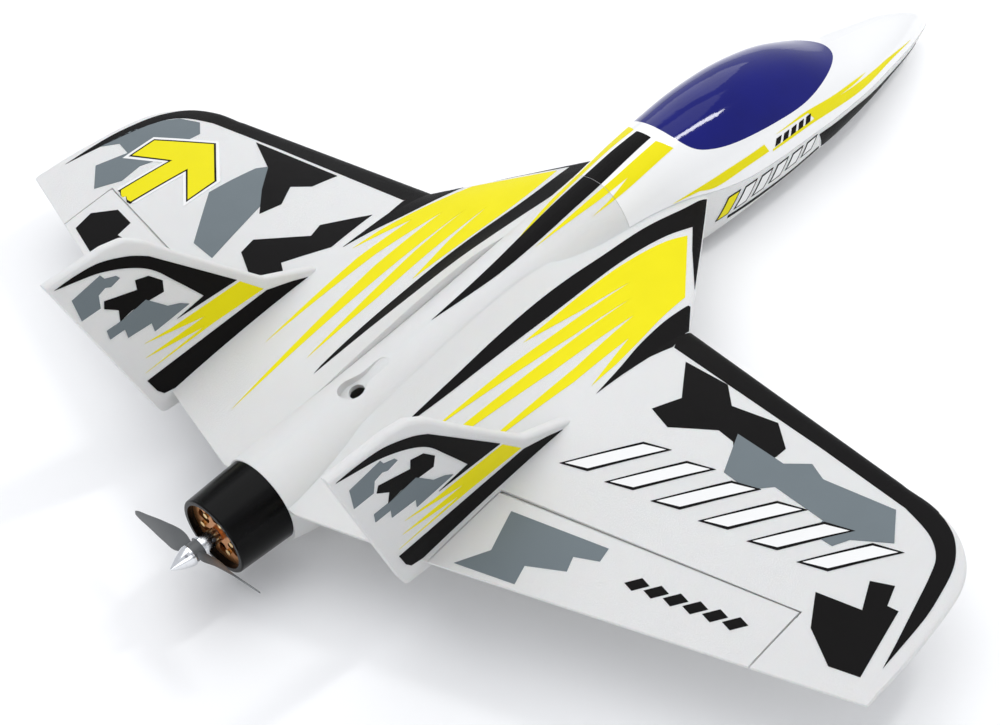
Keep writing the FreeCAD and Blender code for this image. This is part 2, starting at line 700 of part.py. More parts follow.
# ---------------------------------------------------------------- motor and propeller
def build_motor():
    housing = Part.makeCone(HOUSING_FRONT_R, HOUSING_REAR_R, TAIL_X - HOUSING_REAR_X,
                            V(TAIL_X, 0, MOTOR_Z), V(-1, 0, 0))
    rear_rim = [e for e in housing.Edges if abs(e.BoundBox.Center.x - HOUSING_REAR_X) < 0.1]
    housing = housing.makeFillet(1.2, rear_rim)
    spigot = rod(SOCKET_R, TAIL_X, BULKHEAD_X)
    housing = housing.fuse(spigot).cut(rod(HOUSING_BORE_R, HOUSING_REAR_X - 1, TAIL_X))
    housing = housing.cut(rod(23.0, TAIL_X - 1, -262)).cut(rod(12.0, -263, -258)).cut(lead_notch())
    screw = rod(2.6, -264, -262, 0, MOTOR_Z + 16).fuse(rod(1.2, -262, -252, 0, MOTOR_Z + 16))
    screws = Part.makeCompound(around(screw, 4, 45))
    bulkhead = rod(SOCKET_R, BULKHEAD_X, SOCKET_X).cut(rod(11.0, -260, -255)).cut(lead_notch())
    parts["motor_bulkhead"] = bulkhead.cut(screws)
    parts["motor_housing"] = housing.cut(screws)
    parts["housing_screws"] = screws

    base_inner_x = BASE_X + BASE_THICKNESS
    tube_front_x = -279.0
    plate = rod(HOUSING_BORE_R - FIT, BASE_X, base_inner_x)
    tube = rod(BEARING_TUBE_R, BASE_X - 1.2, tube_front_x)
    base = plate.fuse(tube)
    vent = ring(19.0, 9.0, BASE_X - 1, base_inner_x + 1)
    wedge = prism([V(BASE_X - 2, 0, MOTOR_Z), V(BASE_X - 2, -8, MOTOR_Z + 30),
                   V(BASE_X - 2, 8, MOTOR_Z + 30)], V(8, 0, 0))
    vent = vent.common(wedge)
    vent = vent.makeFillet(1.4, [e for e in vent.Edges if e.BoundBox.XLength > 3])
    for opening in around(vent, 6):
        base = base.cut(opening)
    screw = rod(2.0, BASE_X - 1.6, BASE_X, 0, MOTOR_Z + 14).fuse(
        rod(1.2, BASE_X, base_inner_x + 1.5, 0, MOTOR_Z + 14))
    base_screws = Part.makeCompound(around(screw, 6, 30))
    bores = rod(BEARING_R, BASE_X - 2, BASE_X + 3).fuse(rod(BEARING_R, -283, -278))
    base = base.cut(bores).cut(rod(2.6, BASE_X - 2, -278)).cut(base_screws)
    parts["motor_base"] = base
    parts["base_screws"] = base_screws
    bearings = [ring(BEARING_R, SHAFT_R + FIT, BASE_X - 1.2, BASE_X + 3),
                ring(BEARING_R, SHAFT_R + FIT, -283, tube_front_x)]
    parts["motor_bearings"] = Part.makeCompound(bearings)

    core_x = (-300.0, -285.0)
    core = ring(STATOR_R, BEARING_TUBE_R + FIT, *core_x)
    slot = box(*core_x, -1.7, 1.7, MOTOR_Z + 8, MOTOR_Z + 14.4)
    mouth = box(*core_x, -0.6, 0.6, MOTOR_Z + 14, MOTOR_Z + STATOR_R + 1)
    for cut in around(slot.fuse(mouth), 12):
        core = core.cut(cut)
    parts["stator_core"] = core
    turns = fuse_all(around(slot, 12) + [ring(14.0, 8.5, -302, core_x[0]),
                                         ring(14.0, 8.5, core_x[1], -283.2)])
    parts["stator_windings"] = turns

    can = ring(CAN_R, CAN_INNER_R, -303, -277.5).fuse(ring(CAN_R, SHAFT_R, -277.5, -275.5))
    can = can.fuse(ring(4.5, SHAFT_R, -275.5, -271.5))
    window = rod(3.4, -278, -275, 0, MOTOR_Z + 12.2)
    for opening in around(window, 6):
        can = can.cut(opening)
    parts["rotor_can"] = can
    magnet = box(-301, -284, -3.3, 3.3, MOTOR_Z + 15, MOTOR_Z + 20)
    magnet = magnet.common(ring(CAN_INNER_R, 16.4, -301, -284))
    parts["rotor_magnets"] = Part.makeCompound(around(magnet, 14))
    parts["motor_shaft"] = rod(SHAFT_R, SHAFT_FRONT_X, SHAFT_REAR_X)

    hub_front, hub_rear = PROP_X + PROP_HUB / 2, PROP_X - PROP_HUB / 2
    driver = ring(5.6, SHAFT_R + FIT, BASE_X - 2.2, hub_front + 2).fuse(
        ring(7.4, SHAFT_R + FIT, hub_front + 2, hub_front))
    grub = Part.makeCylinder(1.3, 3.9, V(BASE_X - 6.5, 0, MOTOR_Z + SHAFT_R), V(0, 0, 1))
    grub.rotate(V(0, 0, MOTOR_Z), V(1, 0, 0), 60)
    parts["prop_driver"] = driver.cut(grub)
    parts["driver_set_screw"] = grub
    parts["propeller"] = build_propeller(hub_front, hub_rear)
    parts["spinner_nut"] = build_spinner(hub_rear)


def build_spinner(base_x):
    length = base_x - SPINNER_TIP_X
    outline = [V(base_x, 0, MOTOR_Z), V(base_x, SPINNER_R - 0.4, MOTOR_Z),
               V(base_x - 0.5, SPINNER_R, MOTOR_Z), V(base_x - 2.2, SPINNER_R, MOTOR_Z)]
    edges = [Part.LineSegment(a, b).toShape() for a, b in zip(outline[:-1], outline[1:])]
    tip = V(SPINNER_TIP_X, 0.7, MOTOR_Z)
    middle = V(base_x - 0.55 * length, SPINNER_R * 0.66, MOTOR_Z)
    edges.append(Part.Arc(outline[-1], middle, tip).toShape())
    end = V(SPINNER_TIP_X, 0, MOTOR_Z)
    edges.append(Part.LineSegment(tip, end).toShape())
    edges.append(Part.LineSegment(end, outline[0]).toShape())
    nut = Part.Face(Part.Wire(edges)).revolve(V(0, 0, MOTOR_Z), V(1, 0, 0), 360)
    bar_hole = Part.makeCylinder(1.0, 20, V(base_x - 5.0, 0, MOTOR_Z - 10), V(0, 0, 1))
    bar_hole.rotate(V(0, 0, MOTOR_Z), V(1, 0, 0), 35)
    return nut.cut(rod(SHAFT_R + FIT, base_x + 1, SHAFT_REAR_X)).cut(bar_hole)


def blade_section(radius, chord, thickness):
    """A thin cambered section, turned to the propeller's pitch at this radius."""
    pitch = min(math.atan2(PROP_PITCH, 2 * math.pi * radius), math.radians(52))

    def at(along, up):
        forward, across = up * thickness, along * chord
        x = PROP_X + across * math.sin(pitch) + forward * math.cos(pitch)
        z = MOTOR_Z + across * math.cos(pitch) - forward * math.sin(pitch)
        return V(x, radius, z)

    back = [at(0.5, 0.06), at(0.3, 0.46), at(0.0, 0.6), at(-0.28, 0.42), at(-0.5, 0.06)]
    face = [at(-0.5, -0.06), at(-0.2, -0.16), at(0.2, -0.2), at(0.5, -0.06)]
    return Part.Wire([
        spline_edge(back), Part.LineSegment(back[-1], face[0]).toShape(),
        spline_edge(face), Part.LineSegment(face[-1], back[0]).toShape(),
    ])


def build_propeller(hub_front, hub_rear):
    blade = Part.makeLoft([blade_section(*row) for row in BLADE], True, False)
    hub = rod(PROP_HUB_R, hub_rear, hub_front)
    whole = fuse_all([hub] + around(blade, 2, PROP_TILT))
    return whole.cut(rod(SHAFT_R + FIT, hub_rear - 1, hub_front + 1))


# ---------------------------------------------------------------- all parts
def main():
    os.makedirs("parts", exist_ok=True)
    outside, hollow = build_foam_body()
    build_equipment(hollow)
    build_wings(outside)
    build_linkage()
    build_motor()
    for name, shape in parts.items():
        shape.exportStep("parts/" + name + ".step")
        volume = sum(solid.Volume for solid in shape.Solids)
        print(name, "valid" if shape.isValid() else "INVALID", round(volume), len(shape.Solids))


main()
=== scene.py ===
import json
import math

import bmesh
import bpy
from mathutils import Matrix, Vector
from mathutils.bvhtree import BVHTree
from mathutils.geometry import delaunay_2d_cdt


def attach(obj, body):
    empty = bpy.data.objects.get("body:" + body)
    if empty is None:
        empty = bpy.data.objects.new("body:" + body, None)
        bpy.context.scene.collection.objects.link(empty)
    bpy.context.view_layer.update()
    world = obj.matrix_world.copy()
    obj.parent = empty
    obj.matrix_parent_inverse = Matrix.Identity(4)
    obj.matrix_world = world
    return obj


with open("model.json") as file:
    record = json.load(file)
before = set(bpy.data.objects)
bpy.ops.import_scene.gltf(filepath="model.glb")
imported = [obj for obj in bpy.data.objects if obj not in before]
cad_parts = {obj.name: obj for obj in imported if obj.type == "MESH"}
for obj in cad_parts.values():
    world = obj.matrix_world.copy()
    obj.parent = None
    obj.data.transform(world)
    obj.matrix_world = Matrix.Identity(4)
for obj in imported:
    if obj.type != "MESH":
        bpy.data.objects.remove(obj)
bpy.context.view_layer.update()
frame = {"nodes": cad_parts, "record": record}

MM = 0.001
NODES = frame["nodes"]


# ---------------------------------------------------------------- materials
class Nodes:
    """A short way to wire a material's node tree."""

    def __init__(self, name):
        self.material = bpy.data.materials.new(name)
        self.material.use_nodes = True
        self.tree = self.material.node_tree
        self.shader = self.tree.nodes["Principled BSDF"]
        coordinates = self.tree.nodes.new("ShaderNodeTexCoord")
        self.place = coordinates.outputs["Object"]

    def add(self, kind, links=(), **settings):
        node = self.tree.nodes.new(kind)
        for key, value in settings.items():
            if key in node.inputs:
                node.inputs[key].default_value = value
            else:
                setattr(node, key, value)
        for socket, source in links:
            self.tree.links.new(source, node.inputs[socket])
        return node

    def noise(self, scale, detail=2.0, stretch=None):
        links = [("Vector", self.stretched(stretch))] if stretch else [("Vector", self.place)]
        return self.add("ShaderNodeTexNoise", links, Scale=scale, Detail=detail).outputs["Fac"]

    def stretched(self, stretch):
        mapping = self.add("ShaderNodeMapping", [("Vector", self.place)])
        mapping.inputs["Scale"].default_value = stretch
        return mapping.outputs["Vector"]

    def remap(self, source, low, high, from_low=0.0, from_high=1.0):
        node = self.add("ShaderNodeMapRange", [("Value", source)])
        node.inputs["From Min"].default_value = from_low
        node.inputs["From Max"].default_value = from_high
        node.inputs["To Min"].default_value = low
        node.inputs["To Max"].default_value = high
        return node.outputs["Result"]

    def mix(self, factor, color_a, color_b):
        node = self.add("ShaderNodeMix", data_type="RGBA")
        self.tree.links.new(factor, node.inputs["Factor"])
        for socket, value in (("A", color_a), ("B", color_b)):
            target = [s for s in node.inputs if s.name == socket and s.type == "RGBA"][0]
            if isinstance(value, tuple):
                target.default_value = (*value, 1.0)
            else:
                self.tree.links.new(value, target)
        return [s for s in node.outputs if s.type == "RGBA"][0]

    def bump(self, height, strength, distance, under=None):
        links = [("Height", height)]
        if under:
            links.append(("Normal", under))
        node = self.add("ShaderNodeBump", links, Strength=strength, Distance=distance)
        return node.outputs["Normal"]

    def set(self, **sockets):
        for key, value in sockets.items():
            socket = self.shader.inputs[key.replace("_", " ")]
            if isinstance(value, bpy.types.NodeSocket):
                self.tree.links.new(value, socket)
            elif isinstance(value, tuple):
                socket.default_value = (*value, 1.0)
            else:
                socket.default_value = value
        return self.material


def shade(color, factor):
    return tuple(min(1.0, c * factor) for c in color)


BEAD = 0.0030            # size of the foam's beads in metres


def bead_edges(n):
    """A value that is 0 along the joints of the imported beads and 1 on the beads."""
    warp = n.add("ShaderNodeTexNoise", [("Vector", n.place)], Scale=160.0, Detail=1.0)
    moved = n.add("ShaderNodeMix", data_type="VECTOR")
    moved.inputs["Factor"].default_value = 0.0016
    ends = [s for s in moved.inputs if s.type == "VECTOR"]
    n.tree.links.new(n.place, ends[0])
    n.tree.links.new(warp.outputs["Color"], ends[1])
    source = [s for s in moved.outputs if s.type == "VECTOR"][0]
    cells = n.add("ShaderNodeTexVoronoi", [("Vector", source)], feature="DISTANCE_TO_EDGE",
                  Scale=1.0 / BEAD)
    return n.remap(cells.outputs["Distance"], 0.0, 1.0, 0.0, 0.16)


def foam_material(name, color):
    """Moulded bead foam: close-packed beads with fine joints, a soft sheen and faint shading."""
    n = Nodes(name)
    beads = bead_edges(n)
    cloud = n.noise(14.0, 3.0)
    base = n.mix(beads, shade(color, 0.74), color)
    tinted = n.mix(n.remap(cloud, 0.0, 0.5), base, shade(color, 0.965))
    fine = n.bump(n.noise(1500.0, 2.0), 0.10, 0.0002)
    normal = n.bump(beads, 0.60, 0.00036, fine)
    return n.set(Base_Color=tinted, Roughness=n.remap(cloud, 0.40, 0.52), Normal=normal,
                 Specular_IOR_Level=0.42, Subsurface_Weight=0.08, Subsurface_Scale=0.004)


def paint_material(name, color, roughness, coat, ripple=0.05, beads=0.0):
    """A smooth painted or filmed skin with a slight ripple, and beads telling through if asked."""
    n = Nodes(name)
    cloud = n.noise(22.0, 3.0)
    base = n.mix(n.remap(cloud, 0.0, 0.6), color, shade(color, 0.93))
    normal = n.bump(n.noise(420.0, 2.0), ripple, 0.0003)
    if beads:
        normal = n.bump(bead_edges(n), beads, 0.00016, normal)
    return n.set(Base_Color=base, Roughness=n.remap(cloud, roughness, roughness + 0.07),
                 Coat_Weight=coat, Coat_Roughness=0.06, Normal=normal)


def film_material(name, color, gloss):
    """Thin printed film with a satin face, the beads of the foam showing faintly through it."""
    n = Nodes(name)
    cloud = n.noise(40.0, 3.0)
    base = n.mix(n.remap(cloud, 0.0, 0.7), color, shade(color, 0.90))
    fine = n.bump(n.noise(900.0, 2.0), 0.06, 0.0002)
    normal = n.bump(bead_edges(n), 0.16, 0.00020, fine)
    return n.set(Base_Color=base, Roughness=n.remap(cloud, 0.42, 0.54), Normal=normal,
                 Specular_IOR_Level=gloss)


def canopy_material(name, color):
    """Deep tinted plastic: a clear glossy face over a darker depth."""
    n = Nodes(name)
    cloud = n.noise(30.0, 2.0)
    base = n.mix(cloud, shade(color, 0.85), shade(color, 1.25))
    normal = n.bump(n.noise(60.0, 1.0), 0.02, 0.0006)
    return n.set(Base_Color=base, Roughness=n.remap(cloud, 0.05, 0.09), Normal=normal,
                 Specular_IOR_Level=0.22)


def plastic_material(name, color, roughness, grain=900.0, gloss=0.5):
    """Moulded plastic with a fine spark-eroded grain."""
    n = Nodes(name)
    cloud = n.noise(60.0, 2.0)
    base = n.mix(cloud, shade(color, 0.86), shade(color, 1.12))
    normal = n.bump(n.noise(grain, 3.0), 0.12, 0.0003)
    return n.set(Base_Color=base, Roughness=n.remap(cloud, roughness - 0.05, roughness + 0.08),
                 Specular_IOR_Level=gloss, Normal=normal)


def metal_material(name, color, roughness, stretch=(30.0, 600.0, 600.0), depth=0.10):
    """Turned or brushed metal: fine lines along one direction, and smudges."""
    n = Nodes(name)
    lines = n.noise(1.0, 4.0, stretch)
    smudge = n.noise(160.0, 3.0)
    base = n.mix(n.remap(lines, 0.2, 0.8), shade(color, 0.80), shade(color, 1.10))
    rough = n.remap(smudge, roughness * 0.75, roughness * 1.4)
    normal = n.bump(lines, depth, 0.0001)
    return n.set(Base_Color=base, Metallic=1.0, Roughness=rough, Normal=normal)


def wood_material(name, color):
    """Birch ply: long grain lines on the face and darker glue lines at the edges."""
    n = Nodes(name)
    grain = n.noise(1.0, 5.0, (700.0, 60.0, 60.0))
    layers = n.add("ShaderNodeTexWave", [("Vector", n.place)], Scale=420.0, Distortion=0.6,
                   bands_direction="X").outputs["Fac"]
    face = n.mix(n.remap(grain, 0.0, 1.0, 0.3, 0.7), shade(color, 0.72), color)
    base = n.mix(n.remap(layers, 0.0, 0.35, 0.7, 1.0), face, shade(color, 0.45))
    return n.set(Base_Color=base, Roughness=n.remap(grain, 0.55, 0.75),
                 Normal=n.bump(grain, 0.25, 0.0002))


def woven_material(name, color):
    """Hook and loop tape: a close woven back."""
    n = Nodes(name)
    across = n.add("ShaderNodeTexWave", [("Vector", n.place)], Scale=620.0,
                   bands_direction="Y").outputs["Fac"]
    along = n.add("ShaderNodeTexWave", [("Vector", n.place)], Scale=620.0,
                  bands_direction="X").outputs["Fac"]
    weave = n.add("ShaderNodeMath", operation="MULTIPLY")
    n.tree.links.new(across, weave.inputs[0])
    n.tree.links.new(along, weave.inputs[1])
    height = weave.outputs["Value"]
    base = n.mix(height, shade(color, 0.6), shade(color, 1.8))
    return n.set(Base_Color=base, Roughness=n.remap(height, 0.7, 0.95), Sheen_Weight=0.3,
                 Normal=n.bump(height, 0.5, 0.0004))


def wound_material(name, color):
    """Close turns of enamelled copper wire about the stator's teeth."""
    n = Nodes(name)
    turns = n.add("ShaderNodeTexWave", [("Vector", n.place)], Scale=760.0, Distortion=0.4,
                  wave_type="RINGS", rings_direction="X").outputs["Fac"]
    base = n.mix(turns, shade(color, 0.45), shade(color, 1.15))
    return n.set(Base_Color=base, Metallic=0.75, Roughness=n.remap(turns, 0.25, 0.45),
                 Coat_Weight=0.6, Normal=n.bump(turns, 0.6, 0.0003))


FOAM_WHITE = (0.96, 0.96, 0.945)
GLOSS_WHITE = (0.84, 0.84, 0.835)
BLACK = (0.0045, 0.004, 0.004)
YELLOW = (0.80, 0.71, 0.004)
GREY = (0.155, 0.185, 0.20)

MATERIALS = {
    "foam": foam_material("foam", FOAM_WHITE),
    "hood_paint": paint_material("hood_paint", GLOSS_WHITE, 0.16, 0.8, 0.04),
    "canopy_tint": canopy_material("canopy_tint", (0.004, 0.006, 0.135)),
    "black_plastic": plastic_material("black_plastic", (0.003, 0.003, 0.003), 0.20, 500.0, 0.10),
    "dark_plastic": plastic_material("dark_plastic", (0.03, 0.03, 0.032), 0.42),
    "white_plastic": plastic_material("white_plastic", (0.78, 0.78, 0.76), 0.38),
    "case_plastic": plastic_material("case_plastic", (0.018, 0.018, 0.020), 0.48, 1400.0),
    "propeller_plastic": plastic_material("propeller_plastic", (0.105, 0.110, 0.112), 0.36, 700.0),
    "spar_glass_fibre": plastic_material("spar_glass_fibre", (0.62, 0.60, 0.48), 0.35, 300.0),
    "spring_steel": metal_material("spring_steel", (0.55, 0.55, 0.56), 0.28),
    "steel": metal_material("steel", (0.60, 0.60, 0.62), 0.20),
    "screw_steel": metal_material("screw_steel", (0.16, 0.16, 0.17), 0.38),
    "bright_alloy": metal_material("bright_alloy", (0.82, 0.83, 0.85), 0.13, (600.0, 60.0, 60.0)),
    "bronze_anodised": metal_material(
        "bronze_anodised", (0.62, 0.28, 0.10), 0.34, (60.0, 500.0, 500.0)),
    "dark_anodised": metal_material("dark_anodised", (0.10, 0.10, 0.11), 0.34),
    "brass_screws": metal_material("brass_screws", (0.80, 0.55, 0.22), 0.22),
    "core_steel": metal_material("core_steel", (0.14, 0.14, 0.15), 0.45, (900.0, 40.0, 40.0), 0.4),
    "magnet_plating": metal_material("magnet_plating", (0.70, 0.70, 0.72), 0.18),
    "copper_enamel": wound_material("copper_enamel", (0.62, 0.24, 0.08)),
    "plywood": wood_material("plywood", (0.58, 0.42, 0.25)),
    "battery_film": paint_material("battery_film", (0.03, 0.06, 0.22), 0.25, 0.4, 0.25),
    "strap_fabric": woven_material("strap_fabric", (0.03, 0.03, 0.033)),
}
FILM_GLOSS = 0.10
DECAL_BLACK = film_material("decal_black", BLACK, 0.06)
DECAL_YELLOW = film_material("decal_yellow", YELLOW, FILM_GLOSS)
DECAL_GREY = film_material("decal_grey", GREY, FILM_GLOSS)
DECAL_WHITE = film_material("decal_white", (0.83, 0.83, 0.82), FILM_GLOSS)

for row in frame["record"]["subparts"]:
    node = NODES[row["node"]]
    node.data.materials.clear()
    node.data.materials.append(MATERIALS[row["material_slot"]])


# ---------------------------------------------------------------- decals
# Outlines are in millimetres in the row frame, seen along the direction the decal is laid from.
SHEET = 0.20             # how far a decal's face stands off the skin
LAYER = 0.07             # how much further each decal on top of another stands
GRID = 4.0               # usual spacing of the points inside a decal
UNDERSIDE = 0.05         # how far a decal's lower face lies under the skin
LOOK_START = 300.0       # where the looks from above and from ahead start
SIDE_START = 400.0       # where a look from the side starts, beyond the wing tip
BETWEEN_START = 60.0     # where a look at a fin's inner face starts


def surface_of(node_names):
    """A search tree over the CAD skins that a decal may lie on."""
    points, faces = [], []
    for name in node_names:
        mesh = NODES[name].data
        first = len(points)
        points += [v.co.copy() for v in mesh.vertices]
        faces += [[first + i for i in p.vertices] for p in mesh.polygons]
    return BVHTree.FromPolygons(points, faces)


def from_above(u, v):
    """The start and direction of a look straight down at x = u, y = v."""
    return Vector((u, v, LOOK_START)) * MM, Vector((0, 0, -1))


def from_ahead(u, v):
    """The start and direction of a look rearwards at y = u, z = v."""
    return Vector((LOOK_START, u, v)) * MM, Vector((-1, 0, 0))


def from_side(side):
    """Looks inwards from beyond a wing tip."""
    def look(u, v):
        return Vector((u, side * SIDE_START, v)) * MM, Vector((0, -side, 0))
    return look


def from_between(side):
    """Looks outwards at the inner face of a fin."""
    def look(u, v):
        return Vector((u, side * BETWEEN_START, v)) * MM, Vector((0, side, 0))
    return look


def close_set(points, grid):
    """Points along the outline close enough together to follow a curved skin."""
    dense = []
    for a, b in zip(points, points[1:] + points[:1]):
        steps = max(1, int(math.dist(a, b) / grid))
        for i in range(steps):
            t = i / steps
            dense.append((a[0] + t * (b[0] - a[0]), a[1] + t * (b[1] - a[1])))
    return dense


def curve_through(points, steps=6):
    """A smooth line through points given in order."""
    line = []
    ends = [points[0]] + list(points) + [points[-1]]
    for p0, p1, p2, p3 in zip(ends, ends[1:], ends[2:], ends[3:]):
        for i in range(steps):
            t = i / steps
            line.append(tuple(
                0.5 * (2 * b + (c - a) * t + (2 * a - 5 * b + 4 * c - d) * t * t
                       + (3 * b - a - 3 * c + d) * t ** 3)
                for a, b, c, d in zip(p0, p1, p2, p3)))
    line.append(tuple(points[-1]))
    return line


def grown(points, distance):
    """The outline moved outwards by a distance."""
    area = sum(a[0] * b[1] - b[0] * a[1] for a, b in zip(points, points[1:] + points[:1]))
    turn = 1.0 if area > 0 else -1.0
    moved = []
    for before, here, after in zip(points[-1:] + points[:-1], points, points[1:] + points[:1]):
        in_way = Vector(here) - Vector(before)
        out_way = Vector(after) - Vector(here)
        if in_way.length < 1e-6 or out_way.length < 1e-6:
            continue
        normal_in = Vector((in_way.y, -in_way.x)).normalized()
        normal_out = Vector((out_way.y, -out_way.x)).normalized()
        middle = normal_in + normal_out
        if middle.length < 0.5:
            middle = normal_in
        middle.normalize()
        reach = distance / max(0.55, middle.dot(normal_in))
        moved.append((here[0] + turn * middle.x * reach, here[1] + turn * middle.y * reach))
    return moved


def inside(point, outline):
    x, y = point
    crossed = False
    for (x0, y0), (x1, y1) in zip(outline, outline[1:] + outline[:1]):
        if (y0 > y) != (y1 > y) and x < x0 + (y - y0) * (x1 - x0) / (y1 - y0):
            crossed = not crossed
    return crossed


def near_edge(point, outline, distance):
    p = Vector(point)
    for a, b in zip(outline, outline[1:] + outline[:1]):
        start, end = Vector(a), Vector(b)
        along = end - start
        t = max(0.0, min(1.0, (p - start).dot(along) / max(along.length_squared, 1e-9)))
        if (p - start - along * t).length < distance:
            return True
    return False


def filled(outline, holes, grid):
    """Triangles that fill an outline, with points spread evenly inside it."""
    loops = [close_set(loop, grid) for loop in [outline] + holes]
    points, edges = [], []
    for loop in loops:
        first = len(points)
        points += [Vector(p) for p in loop]
        edges += [(first + i, first + (i + 1) % len(loop)) for i in range(len(loop))]
    xs = [p[0] for p in outline]
    ys = [p[1] for p in outline]
    rows = int((max(ys) - min(ys)) / (grid * 0.866)) + 1
    columns = int((max(xs) - min(xs)) / grid) + 1
    for j in range(rows):
        for i in range(columns):
            p = (min(xs) + (i + 0.5 * (j % 2)) * grid, min(ys) + j * grid * 0.866)
            if not inside(p, outline) or near_edge(p, outline, 0.45 * grid):
                continue
            if any(inside(p, h) or near_edge(p, h, 0.45 * grid) for h in holes):
                continue
            points.append(Vector(p))
    verts, _, faces, _, _, _ = delaunay_2d_cdt(points, edges, [], 1, 1e-5)
    kept = []
    for face in faces:
        centre = sum((verts[i] for i in face), Vector((0, 0))) / len(face)
        if inside(centre, outline) and not any(inside(centre, h) for h in holes):
            kept.append(list(face))
    return verts, kept


def decal(name, outline, skin, look, body, material, layer=0, holes=(), grid=GRID):
    """A thin closed sheet laid on the skin, seen through the outline from one direction."""
    flat, faces = filled(list(outline), [list(h) for h in holes], grid)
    top, low, kept = [], [], {}
    for i, p in enumerate(flat):
        origin, direction = look(p.x, p.y)
        place, normal, _, _ = skin.ray_cast(origin, direction)
        if place is None:
            continue
        if normal.dot(direction) > 0:
            normal = -normal
        kept[i] = len(top)
        top.append(place + normal * (SHEET + layer * LAYER) * MM)
        low.append(place - normal * UNDERSIDE * MM)
    faces = [[kept[i] for i in f] for f in faces if all(i in kept for i in f)]
    if not faces:
        return None
    along = look(0, 0)[1]
    a, b, c = (top[i] for i in faces[0][:3])
    if (b - a).cross(c - a).dot(along) > 0:
        faces = [f[::-1] for f in faces]
    count = len(top)
    border = {}
    for f in faces:
        for u, v in zip(f, f[1:] + f[:1]):
            if (v, u) in border:
                del border[(v, u)]
            else:
                border[(u, v)] = True
    shell = [list(f) for f in faces]
    shell += [[count + i for i in f[::-1]] for f in faces]
    shell += [[v, u, count + u, count + v] for u, v in border]
    mesh = bpy.data.meshes.new(name)
    mesh.from_pydata(top + low, [], shell)
    mesh.validate()
    used = set(i for p in mesh.polygons for i in p.vertices)
    if len(used) < len(mesh.vertices):
        loose = [i for i in range(len(mesh.vertices)) if i not in used]
        drop_vertices(mesh, loose)
    for polygon in mesh.polygons:
        polygon.use_smooth = False
    mesh.materials.append(material)
    piece = bpy.data.objects.new(name, mesh)
    bpy.context.scene.collection.objects.link(piece)
    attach(piece, body)
    return piece


def drop_vertices(mesh, indices):
    """Takes points out of a mesh."""
    work = bmesh.new()
    work.from_mesh(mesh)
    work.verts.ensure_lookup_table()
    bmesh.ops.delete(work, geom=[work.verts[i] for i in indices], context="VERTS")
    work.to_mesh(mesh)
    work.free()


def flipped(outline, side):
    """The outline as given for the left side, or mirrored for the right."""
    return [(x, side * y) for x, y in outline]


def cut_at(outline, limit, keep_above):
    """The part of an outline on one side of a station."""
    kept = []
    for a, b in zip(outline, outline[1:] + outline[:1]):
        a_in = (a[0] >= limit) == keep_above
        b_in = (b[0] >= limit) == keep_above
        if a_in:
            kept.append(a)
        if a_in != b_in:
            t = (limit - a[0]) / (b[0] - a[0])
            kept.append((limit, a[1] + t * (b[1] - a[1])))
    return kept


def leaning_bar(centre, size, angle, lean_u, lean_v):
    """A bar turned to an angle, then leaned over along either direction."""
    half_w, half_h = size[0] / 2, size[1] / 2
    c, s = math.cos(math.radians(angle)), math.sin(math.radians(angle))
    corners = []
    for u, v in ((-half_w, -half_h), (half_w, -half_h), (half_w, half_h), (-half_w, half_h)):
        across, up = c * u - s * v, s * u + c * v
        corners.append((centre[0] + across - lean_u * up, centre[1] + up + lean_v * across))
    return corners


WING = {s: surface_of(["wing_" + s]) for s in ("left", "right")}
ELEVON = {s: surface_of(["elevon_" + s]) for s in ("left", "right")}
FIN = {s: surface_of(["fin_" + s]) for s in ("left", "right")}
SIDES = {"left": 1, "right": -1}
HULL = surface_of(["fuselage_left", "fuselage_right"])
HOOD = surface_of(["canopy_hood"])
BACK = surface_of(["fuselage_left", "fuselage_right", "wing_left", "wing_right"])

# wing panels, given for the left wing: x forward, y outwards
EDGE_BAND = (
    [(-1.0, 123.5), (-29.5, 335), (-34, 346)]
    + curve_through([(-34, 346), (-41, 357), (-51, 366), (-64, 373), (-82, 378), (-105, 382),
                     (-144, 384)])
    + curve_through([(-127, 380), (-104, 374), (-77, 366.5), (-62, 360), (-51, 347), (-43, 325)])
    + [(-35, 257), (-23, 129), (-14, 124)]
)
KINK_PATCH = (
    [(17, 108), (-1, 122), (-23, 128), (-41, 124), (-67, 122), (-88, 121)]
    + curve_through([(-88, 121), (-62, 117), (-37, 112), (-9, 108.5), (16, 107)])
)
for side_name, side in SIDES.items():
    wing = WING[side_name]
    decal("edge_band_" + side_name, flipped(EDGE_BAND, side), wing, from_above, "airframe",
          DECAL_BLACK, 1, grid=2.0)
    nose = [(side * 124, 54.0), (side * 340, 54.5), (side * 340, 60.0), (side * 124, 61.0)]
    decal("edge_nose_" + side_name, nose, wing, from_ahead, "airframe", DECAL_BLACK, grid=1.5)
    decal("kink_patch_" + side_name, flipped(KINK_PATCH, side), wing, from_above, "airframe",
          DECAL_BLACK, 2, grid=2.0)

RIGHT_PATCHES = {
    "camo_dark": (DECAL_BLACK, 1, [
        (-29, 144), (-57, 165), (-76, 157), (-82, 175), (-64, 201), (-66, 214), (-77, 224),
        (-73, 238), (-59, 242), (-50, 242), (-35, 224), (-42, 193), (-28, 178)]),
    "camo_grey": (DECAL_GREY, 2, [
        (-59, 212), (-89, 226), (-91, 246), (-79, 257), (-82, 295), (-94, 296), (-94, 311),
        (-84, 316), (-70, 337), (-48, 322), (-56, 275), (-50, 262), (-61, 249)]),
    "camo_tip": (DECAL_BLACK, 1, [
        (-126, 324), (-147, 337), (-161, 360), (-156, 378), (-108, 368), (-109, 361),
        (-95, 356), (-101, 343), (-120, 352)]),
}
for name, (material, layer, outline) in RIGHT_PATCHES.items():
    decal(name + "_right", flipped(outline, -1), WING["right"], from_above, "airframe", material,
          layer)

